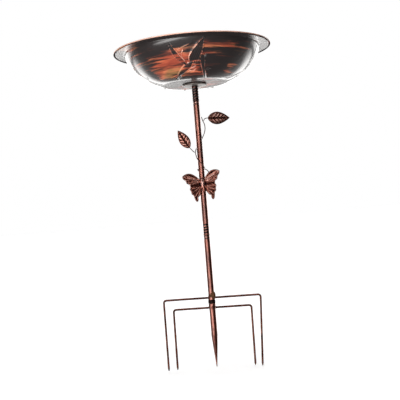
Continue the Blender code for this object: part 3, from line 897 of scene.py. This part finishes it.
def copper_cover(turn, up):
    """How much copper is brushed on the wall, from the black ground up to full cover."""
    cover = np.full(turn.shape, BARE)
    for degrees, height, wide, tall, strength in COPPER_PATCHES:
        reach = ((np.degrees(turn) - degrees) / wide) ** 2 + ((up - height) / tall) ** 2
        cover = cover + (strength - BARE) * np.exp(-reach)
    return np.clip(cover, BARE, 1)


def side_fade(angles):
    """1 at the front and back of the bowl and 0 at its sides, which were brushed least."""
    return ease(0.35, 0.75, np.abs(np.cos(angles - MOTIF_TURN)))


def motif_turn(turn):
    """The turn from the nearest motif's middle."""
    repeat = math.tau / MOTIFS
    return (turn - MOTIF_TURN + repeat / 2) % repeat - repeat / 2


def bowl_angles():
    """Columns round the bowl: close together over the motifs and wider between them."""
    fine = np.arange(-MOTIF_HALF, MOTIF_HALF, math.radians(0.3))
    coarse = np.linspace(MOTIF_HALF, math.tau / MOTIFS - MOTIF_HALF, 16)[:-1]
    one = np.concatenate([fine, coarse])
    return np.concatenate([MOTIF_TURN + k * math.tau / MOTIFS + one for k in range(MOTIFS)])


def make_bowl(finish):
    """The pressed sheet in five runs of rows: underside, wall, flange and bead, lining and floor."""
    radius, height, out_r, out_z, up = wall_curve(WALL_ROWS)
    bead_height = RIM_TOP - BEAD_RADIUS
    flange_low, flange_top = bead_height - SHEET / 2, bead_height + SHEET / 2
    shoulder = 1.6
    corner = (WALL_RADIUS + shoulder, flange_low - shoulder)
    flange_end = RIM_RADIUS - 4.2
    angles = bowl_angles()

    def rows(points):
        r, z = np.array(points, float).T
        return r[:, None] + 0 * angles, z[:, None] + 0 * angles

    wall_turn, wall_up = np.meshgrid(motif_turn(angles), up)
    lift, mark = motif(wall_turn * radius[:, None], wall_up)
    fade = ease(0, 5, wall_up) * (1 - ease(95, 99.5, wall_up))
    brushed = side_fade(angles)
    lift = lift * fade * (0.25 + 0.75 * brushed)
    cover = copper_cover(wall_turn, wall_up)
    outer_r, outer_z = radius[:, None] + lift * out_r[:, None], height[:, None] + lift * out_z[:, None]
    wall = (outer_r, outer_z, PLAIN + mark * brushed * fade, BARE + (cover - BARE) * brushed,
            BASE_DULL * (1 - ease(0, 14, wall_up)))
    lining = (outer_r - SHEET * out_r[:, None], outer_z - SHEET * out_z[:, None],
              PLAIN - 0.5 * (mark * fade), 0.25 + 0.5 * cover, 0 * lift)
    keep = height < flange_low - shoulder

    lip_r, lip_z = rows([
        *arc(corner, shoulder, 170, 90, 6),
        *[(r, flange_low) for r in np.linspace(WALL_RADIUS + shoulder + 1, flange_end, 6)],
        *arc((RIM_RADIUS - BEAD_RADIUS, bead_height), BEAD_RADIUS, -163, 163, 26),
        *[(r, flange_top) for r in np.linspace(flange_end, WALL_RADIUS + 2.2, 6)],
        *arc(corner, shoulder + SHEET, 95, 172, 8),
    ])
    above_bead = lip_z - bead_height
    # The bead's outer face takes full copper and, where its copper mark passes 1, a painted highlight, a
    # little stronger towards 215 degrees round the bowl.
    outermost = ease(RIM_RADIUS - 3.6, RIM_RADIUS - 0.9, lip_r) * ease(-1.1, -0.2, above_bead)
    lip_copper_and_highlight = -0.1 + 2.2 * outermost * (0.8 + 0.2 * np.cos(angles - math.radians(215)))
    lip_dull = ease(RIM_RADIUS - 5.2, RIM_RADIUS - 4.0, lip_r) * (1 - ease(-1.1, -0.3, above_bead))

    floor_radii = np.linspace(0, FLOOR_RADIUS - 1.5, 22)
    blocks = [
        (*rows([(r, DISH_BASE) for r in floor_radii]), PLAIN, 0.3, BASE_DULL),
        [values[keep] for values in wall],
        (lip_r, lip_z, PLAIN, lip_copper_and_highlight, lip_dull),
        [values[keep][::-1] for values in lining],
        (*rows([(r, DISH_BASE + SHEET) for r in floor_radii[::-1]]), PLAIN, -0.1, 0),
    ]
    runs = zip(*[np.broadcast_arrays(*block) for block in blocks])
    r, z, ridge, copper, dull = [np.vstack(run) for run in runs]
    points = np.stack([r * np.cos(angles), r * np.sin(angles), z], axis=-1)
    bowl = ring_mesh("bowl", points, {"ridge": ridge, "copper": copper, "dull": dull}, False, 50)
    settle(bowl, "dish", "dish_coat", finish, "dish")


def make_backing_plate(finish):
    """The round plate under the bowl, with a rolled edge and a shallow groove just inside it."""
    top = DISH_BASE - GAP
    edge = (top - PLATE_BASE) / 2
    flat = PLATE_RADIUS - edge
    profile = [
        (0, PLATE_BASE), *[(r, PLATE_BASE) for r in np.linspace(3, flat - 3, 8)],
        (flat - 2.2, PLATE_BASE + 0.35), (flat - 1.4, PLATE_BASE + 0.35),
        *arc((flat, PLATE_BASE + edge), edge, -90, 90, 12), (0, top),
    ]
    settle(lathe("backing_plate", profile, closed=False), "dish", "dark_collar", finish, "dish_plate")


# ---- vine and leaves


VINE_ROUTE = [
    circle_point(-28, 269.6), circle_point(-55, 273.2), circle_point(-88, 279.2),
    circle_point(-122, 284.2), circle_point(-152, 288.5, HUG + 0.4), (-8.0, -1.2, 294.5), (-8.7, 0, 299.4),
    (-7.9, 2.4, 304.5), circle_point(134, 309.8, HUG + 0.2), circle_point(92, 316.5),
    circle_point(52, 322.4), circle_point(22, 328.0, HUG + 0.5), (11.2, 0.6, 336.0), (13.2, -0.4, 344.3),
    (12.8, -0.8, 351.5), (10.6, -1.0, 358.0), (9.1, -1.0, 362.2), (8.2, -0.9, 366.2),
]
TIE_ROUTE = [
    (13.3, -8.2, 259.8), (11.6, -6.0, 263.6), circle_point(-24, 266.4, HUG + 1.5), circle_point(8, 267.2),
    circle_point(50, 267.0), circle_point(90, 266.8), circle_point(130, 266.8),
    circle_point(170, 267.2), circle_point(200, 267.0, HUG + 0.3), circle_point(212, 264.6, HUG + 0.2),
]
LEFT_LEAF = ((-19.1, -1.2, 309.2), (-39.0, -3.0, 344.3))
RIGHT_LEAF = ((19.7, -1.4, 363.7), (61.5, -4.0, 360.7))
LEFT_STEM_ROUTE = [(-10.6, -0.2, 300.6), (-13.3, -0.7, 303.0), (-16.1, -1.0, 306.4), (-18.3, -1.1, 308.9)]
RIGHT_STEM_ROUTE = [(12.0, -1.5, 359.9), (13.3, -1.5, 362.2), (15.5, -1.4, 363.6), (18.8, -1.4, 363.9)]


def make_wires(finish):
    for name, node, route, radius in (
        ("vine", "vine_wire", VINE_ROUTE, VINE_RADIUS),
        ("wing_tie", "butterfly_tie", TIE_ROUTE, VINE_RADIUS),
        ("left_stem", "left_leaf_stem", LEFT_STEM_ROUTE, STEM_RADIUS),
        ("right_stem", "right_leaf_stem", RIGHT_STEM_ROUTE, STEM_RADIUS),
    ):
        wire = sweep(name, smooth(route, 8), radius, sides=16, lumps=0.03)
        settle(wire, "upper", "dark_wire", finish, node)


def leaf_half(share, width):
    """Half the leaf's width at a share of its length."""
    return width / 2 * np.sin(math.pi * share**0.8) ** 0.85


def leaf_outline(length, width):
    share = np.linspace(0, 1, 46)
    half = leaf_half(share, width)
    upper = np.stack([share * length, half], axis=-1)
    return np.vstack([upper, (upper * (1, -1))[-2:0:-1]])


def leaf_shape(length, width):
    """Puffed lobes between a sunken midrib and sunken side veins, with a plain edge."""
    def shape(x, z, edge):
        share = np.clip(x / length, 0, 1)
        half = np.maximum(leaf_half(share, width), 0.3)
        side = np.clip(z / half, -1, 1)
        belly = np.sin(math.pi * share)
        base = 2.2 * belly * (1 - side**2) - 1.2 * belly * (1 - np.abs(side)) ** 2
        across = np.abs(z)
        run = (x - 0.75 * across) / length * LEAF_VEINS + 0.25
        gap = np.abs(run - np.round(run)) * length / LEAF_VEINS
        vein = bell(gap, 0.55) * (across > 0.4) * ease(0.2, 1.4, edge)
        rib = bell(across, 0.75) * (share < 0.96)
        border = 1 - ease(0.7, 1.5, edge)
        puff = ease(0, 2.2, gap) * ease(0.6, 2.6, across) * ease(1.0, 2.6, edge)
        forward = base + 0.5 * puff - 0.35 * vein - 0.5 * rib
        ridge = 0.60 + 0.28 * puff - 0.34 * vein - 0.62 * rib - 0.12 * border
        return forward, np.clip(ridge, 0, 1)
    return shape


def make_leaf(name, node, ends, width, roll, finish):
    base, tip = map(Vector, ends)
    length = (tip - base).length
    points, faces, marks = pressed_sheet(
        leaf_outline(length, width), 0.6, LEAF_SHEET, leaf_shape(length, width))
    along = (tip - base).normalized()
    front = Vector((0, -1, 0))
    face = (front - along * along.dot(front)).normalized()
    axes = Matrix((along, -face, along.cross(-face))).transposed()
    turned = np.array(axes @ Matrix.Rotation(math.radians(roll), 3, "X"))
    piece = finish_mesh(name, points @ turned.T + np.array(base), faces, marks, 45)
    settle(piece, "upper", "leaf_copper", finish, node)


# ---- butterfly


# Right half of the wings, from the root's top round to its bottom, before the wings are folded
WING_OUTLINE = [
    (6.5, 13.5), (12.0, 19.0), (18.5, 23.6), (25.5, 25.3), (32.0, 24.2), (37.0, 21.0),
    (35.6, 15.6), (32.0, 12.0), (30.2, 6.6), (26.0, 4.0), (24.6, -0.5),
    (26.4, -5.0), (24.6, -9.6), (24.4, -14.2), (21.2, -17.6), (20.2, -22.4), (18.6, -28.0), (15.6, -30.4),
    (13.2, -27.2), (12.6, -22.0), (9.4, -20.0), (6.4, -15.6),
]
ROOT_TOP = 8.5
ROOT_BASE = -9.5
# Veins run from the root to these points of the wing's margin
FORE_VEINS = [(36.0, 20.0), (33.5, 13.5), (30.5, 8.0), (26.0, 3.5)]
HIND_VEINS = [(25.5, -5.5), (24.0, -12.5), (20.0, -21.0), (13.5, -23.0)]
FORE_ROOT = (3.0, 6.5)
HIND_ROOT = (3.0, -2.5)
RING_SPOTS = [(23.0, 9.2, 2.7), (19.5, -3.6, 2.5), (29.5, 17.6, 1.9)]
DIVIDE = ((3.0, 1.5), (25.0, 1.2))


def wing_shape(x, z, edge):
    """Raised veins, border and ring spots on a wing that bellies between them."""
    veins = [line_distance(x, z, FORE_ROOT, end) for end in FORE_VEINS]
    veins += [line_distance(x, z, HIND_ROOT, end) for end in HIND_VEINS]
    nearest = np.min(veins, axis=0)
    rib = bell(nearest, 1.1)
    cell = ease(0.9, 2.4, nearest)
    border = bell(edge - 1.1, 0.75)
    margin = bell(edge - 3.2, 0.5)
    leading = (1 - ease(1.8, 2.8, line_distance(x, z, (6.5, 10.5), (34, 22.5)))) * (z > 9)
    split = bell(line_distance(x, z, *DIVIDE), 0.7)
    forward = 0.2 * cell + 0.55 * rib + 0.35 * border + 0.55 * leading - 0.5 * split - 0.2 * margin
    # Painted shade: the wing is marked darker towards its root, beside the body.
    shade = 1 - ease(WING_ROOT, 10, x)
    ridge = 0.26 + 0.68 * rib + 0.50 * border + 0.55 * leading - 0.1 * split - 0.2 * margin - 0.45 * shade
    for spot_x, spot_z, size in RING_SPOTS:
        away = np.hypot(x - spot_x, z - spot_z) / size
        patch = 1 - ease(1.15, 1.5, away)
        ring = bell(away - 0.95, 0.2)
        centre = 1 - ease(0.35, 0.6, away)
        forward = forward * (1 - patch) + patch * (0.15 + 0.4 * ring + 0.35 * centre)
        ridge = ridge * (1 - patch) + patch * (0.18 + 0.66 * ring + 0.6 * centre)
    return forward * ease(0, 0.8, edge), np.clip(ridge, 0, 1)


def to_butterfly(points):
    """Tilts points about the butterfly's middle and puts them in front of the pole."""
    tilt = np.array(Matrix.Rotation(-BUTTERFLY_TILT, 3, "Y"))
    return points @ tilt.T + np.array((BUTTERFLY_X, WING_FRONT - WING_SHEET / 2, BUTTERFLY_HEIGHT))


def make_wings(finish, shaded_finish):
    """Both stamped wings, folded forwards about their roots, and the web between them."""
    crest = smooth([(WING_ROOT, ROOT_TOP), *WING_OUTLINE, (WING_ROOT, ROOT_BASE)], 5)
    # The right wing takes a darker copy of the left wing's paint, as painted shade.
    for sign, side, paint, nodes in (
        (-1, "left", finish, ["butterfly_wings"]),
        (1, "right", shaded_finish, []),
    ):
        points, faces, marks = pressed_sheet(crest, 0.55, WING_SHEET, wing_shape)
        fold = np.array(Matrix.Rotation(-WING_FOLD[sign], 3, "Z"))
        hinge = np.array((WING_ROOT, 0, 0))
        points = (points - hinge) @ fold.T + hinge
        points[:, 0] *= sign
        piece = finish_mesh(f"{side}_wing", to_butterfly(points), faces, marks, 50)
        settle(piece, "upper", "leaf_copper", paint, *nodes)
    across = (-WING_ROOT, WING_ROOT)
    web = [(x, ROOT_BASE) for x in across] + [(x, ROOT_TOP) for x in across[::-1]]
    points, faces, marks = pressed_sheet(web, 0.8, WING_SHEET, lambda x, z, edge: (0 * x, 0 * x + 0.25))
    settle(finish_mesh("wing_web", to_butterfly(points), faces, marks), "upper", "leaf_copper", finish)


def make_thorax(finish):
    """The butterfly's body: a head, a chest and a ringed abdomen."""
    width, depth, length = 4.0, 3.0, 14.2
    rows, sides = 64, 40
    z = np.linspace(-1, 1, rows)
    profile = np.sqrt(np.clip(1 - z**2, 0, 1))
    shape = profile * (1 + 0.22 * z - 0.25 * np.clip(-z, 0, 1) - 0.2 * np.clip(z - 0.55, 0, 1))
    neck = 1 - 0.16 * bell(z - 0.62, 0.06) - 0.10 * bell(z - 0.05, 0.06)
    rings = 1 - 0.05 * (0.5 + 0.5 * np.cos(z * 34)) * (z < 0)
    turn = np.arange(sides) * math.tau / sides
    radius = (shape * neck * rings)[:, None]
    x, y = width * radius * np.cos(turn), depth * radius * np.sin(turn)
    points = np.stack([x, y, length * z[:, None] + 0 * turn], axis=-1)
    ridge = np.repeat((0.74 + 0.26 * ease(-0.6, 0.2, z) - (1 - neck * rings))[:, None], sides, axis=1)
    points = to_butterfly(points) + (0.05, -(WING_SHEET / 2 + GAP + 0.6 + depth), -0.2)
    piece = ring_mesh("thorax", points, {"ridge": ridge}, False, 60)
    settle(piece, "upper", "leaf_copper", finish, "butterfly_body")


# ---- studio


# Strengths of the surround behind the object by height, from straight down (0) to straight up (1)
TABLE_GLOW = ((0.06, 0.02), (0.14, 0.06), (0.25, 0.10), (0.31, 3.8), (0.37, 4.0), (0.397, 0.45), (0.409, 0.2),
              (0.424, 0.16), (0.445, 3.0), (0.545, 3.8), (0.60, 0.4))
EVEN_GLOW = 0.03
FLOOR_GLOW = 0.22
# The soft strip light in front: how far it leans to the right going up, where it fades in and out
# across and up, and its strength
STRIP_LEAN = 2.2
STRIP_ACROSS = (-0.52, -0.26, -0.04, 0.26)
STRIP_UP = (-0.40, -0.22, 0.06, 0.16)
STRIP_GLOW = 7.0


def make_floor():
    """A pale floor under the prongs' tips. It takes no light from the object and is clear from below."""
    reach = 30
    corners = [(-reach, -reach, 0), (reach, -reach, 0), (reach, reach, 0), (-reach, reach, 0)]
    mesh = bpy.data.meshes.new("studio_floor")
    mesh.from_pydata(corners, [], [(0, 1, 2, 3)])
    ground = add_object("studio_floor", mesh)
    ground.location.z = (min(low("outer_fork"), TIP) - GAP) * MM
    ground.visible_glossy = False
    ground.visible_diffuse = False
    ground.visible_shadow = False
    paint = Paint("studio_white", Base_Color=(0.92, 0.92, 0.92, 1), Roughness=0.9)
    paint.set("Emission Color", (1.0, 1.0, 1.0))
    paint.set("Emission Strength", FLOOR_GLOW)
    below = paint.node("ShaderNodeNewGeometry").outputs["Backfacing"]
    clear = paint.node("ShaderNodeBsdfTransparent").outputs[0]
    one_sided = paint.join(paint.node("ShaderNodeMixShader"), below, paint.shader.outputs[0], clear)
    paint.feed(paint.tree.nodes["Material Output"].inputs["Surface"], one_sided)
    ground.data.materials.append(paint.material)


def make_surround():
    """White to the camera. It lights the object from behind and with a soft strip in front."""
    world = bpy.data.worlds.new("studio")
    bpy.context.scene.world = world
    world.use_nodes = True
    wires = Wiring(world.node_tree)
    split = wires.node("ShaderNodeSeparateXYZ")
    wires.feed(split.inputs[0], wires.node("ShaderNodeTexCoord").outputs["Generated"])
    x, y, z = split.outputs
    height = wires.sum(0.5, z, 0.5)
    table = wires.ramp(height, *((share, (glow,) * 3) for share, glow in TABLE_GLOW))
    strength = wires.sum(EVEN_GLOW, table, wires.stretch(y, 0.42, 0.80))
    strip = wires.times(wires.band(wires.sum(x, z, -STRIP_LEAN), *STRIP_ACROSS), wires.band(z, *STRIP_UP))
    strip = wires.times(strip, wires.stretch(y, -0.3, -0.6))
    strength = wires.sum(strength, strip, STRIP_GLOW)
    lit = wires.node("ShaderNodeBackground")
    lit.inputs["Color"].default_value = (1, 0.985, 0.97, 1)
    wires.feed(lit.inputs["Strength"], strength)
    shown = wires.tree.nodes["Background"]
    shown.inputs["Color"].default_value = (1, 1, 1, 1)
    to_camera = wires.node("ShaderNodeLightPath").outputs["Is Camera Ray"]
    choose = wires.join(wires.node("ShaderNodeMixShader"), to_camera, lit.outputs[0], shown.outputs[0])
    wires.feed(wires.tree.nodes["World Output"].inputs["Surface"], choose)


def soft_light(name, place, target, size, power):
    """A square area light that shows in no reflection."""
    data = bpy.data.lights.new(name, "AREA")
    data.size = size
    data.energy = power
    lamp = add_object(name, data)
    lamp.location = place
    lamp.rotation_euler = (Vector(target) - Vector(place)).to_track_quat("-Z", "Y").to_euler()
    lamp.visible_glossy = False


def make_lights():
    sun = bpy.data.lights.new("overhead", "SUN")
    sun.energy = 3.0
    sun.angle = math.radians(60)
    add_object("overhead", sun)
    soft_light("under_bowl", (-0.35, -0.9, -0.55), (0, 0, 0.45), 1.0, 26)
    soft_light("fill", (-1.0, -1.6, 0.5), (0, 0, 0.2), 1.0, 8)


def make_camera():
    """Level with the upper third of the pole, and rolled so that the pole leans in the picture."""
    data = bpy.data.cameras.new("camera")
    data.sensor_width = 36
    data.lens = 70.56
    data.shift_x, data.shift_y = -0.01225, 0.0345
    camera = add_object("camera", data)
    camera.location = (0, -1.5, 0.1817)
    camera.rotation_euler = (math.radians(90), math.radians(4.546), 0)
    bpy.context.scene.camera = camera
    bpy.context.scene.view_settings.view_transform = "Standard"


def main():
    tube_paint = antique_copper("tube_copper", (120, 120, 14))
    fork_paint = antique_copper("fork_copper", (45, 45, 60), 0.36, coat=0.1)
    socket_paint = antique_copper("socket_copper", (90, 90, 90), 0.26)
    leaf_paint = pressed_copper("leaf_copper_paint", 1.0)
    # Darker copies of the leaf copper, standing for painted shade: one for the right wing and one for the
    # right leaf.
    shaded_wing_paint = pressed_copper("shaded_wing_copper", 0.7, coat=0.0)
    shaded_leaf_paint = pressed_copper("shaded_leaf_copper", 0.42)
    weld_paint = dark_lacquer("weld_lacquer", (0.060, 0.026, 0.011), 0.45)
    wire_paint = dark_lacquer("wire_lacquer", (0.06, 0.03, 0.022), 0.4)
    collar_paint = dark_lacquer("collar_lacquer", (0.008, 0.002, 0.0015), 0.55)
    plate_paint = dark_lacquer("plate_lacquer", (0.13, 0.115, 0.105), 0.45, coat=0.3)
    bowl_paint = brushed_bowl_coat()
    make_ground_spike(tube_paint)
    make_collar(collar_paint)
    make_lower_tube(tube_paint)
    make_ring("mid_ring_bead", "mid_joint_ring", "mid_ring", tube_paint)
    make_upper_tube(tube_paint)
    make_ring("top_ring_bead", "top_joint_ring", "top_ring", tube_paint)
    make_socket(socket_paint)
    make_backing_plate(plate_paint)
    make_bowl(bowl_paint)
    make_prongs("outer_prongs", "outer_fork", OUTER_FORK, fork_paint)
    make_prongs("inner_prongs", "inner_fork", INNER_FORK, fork_paint)
    make_welds(weld_paint)
    make_wires(wire_paint)
    make_leaf("leaf_left", "left_leaf", LEFT_LEAF, 20, -8, leaf_paint)
    make_leaf("leaf_right", "right_leaf", RIGHT_LEAF, 24, 10, shaded_leaf_paint)
    make_wings(leaf_paint, shaded_wing_paint)
    make_thorax(leaf_paint)
    make_floor()
    make_surround()
    make_lights()
    make_camera()


main()
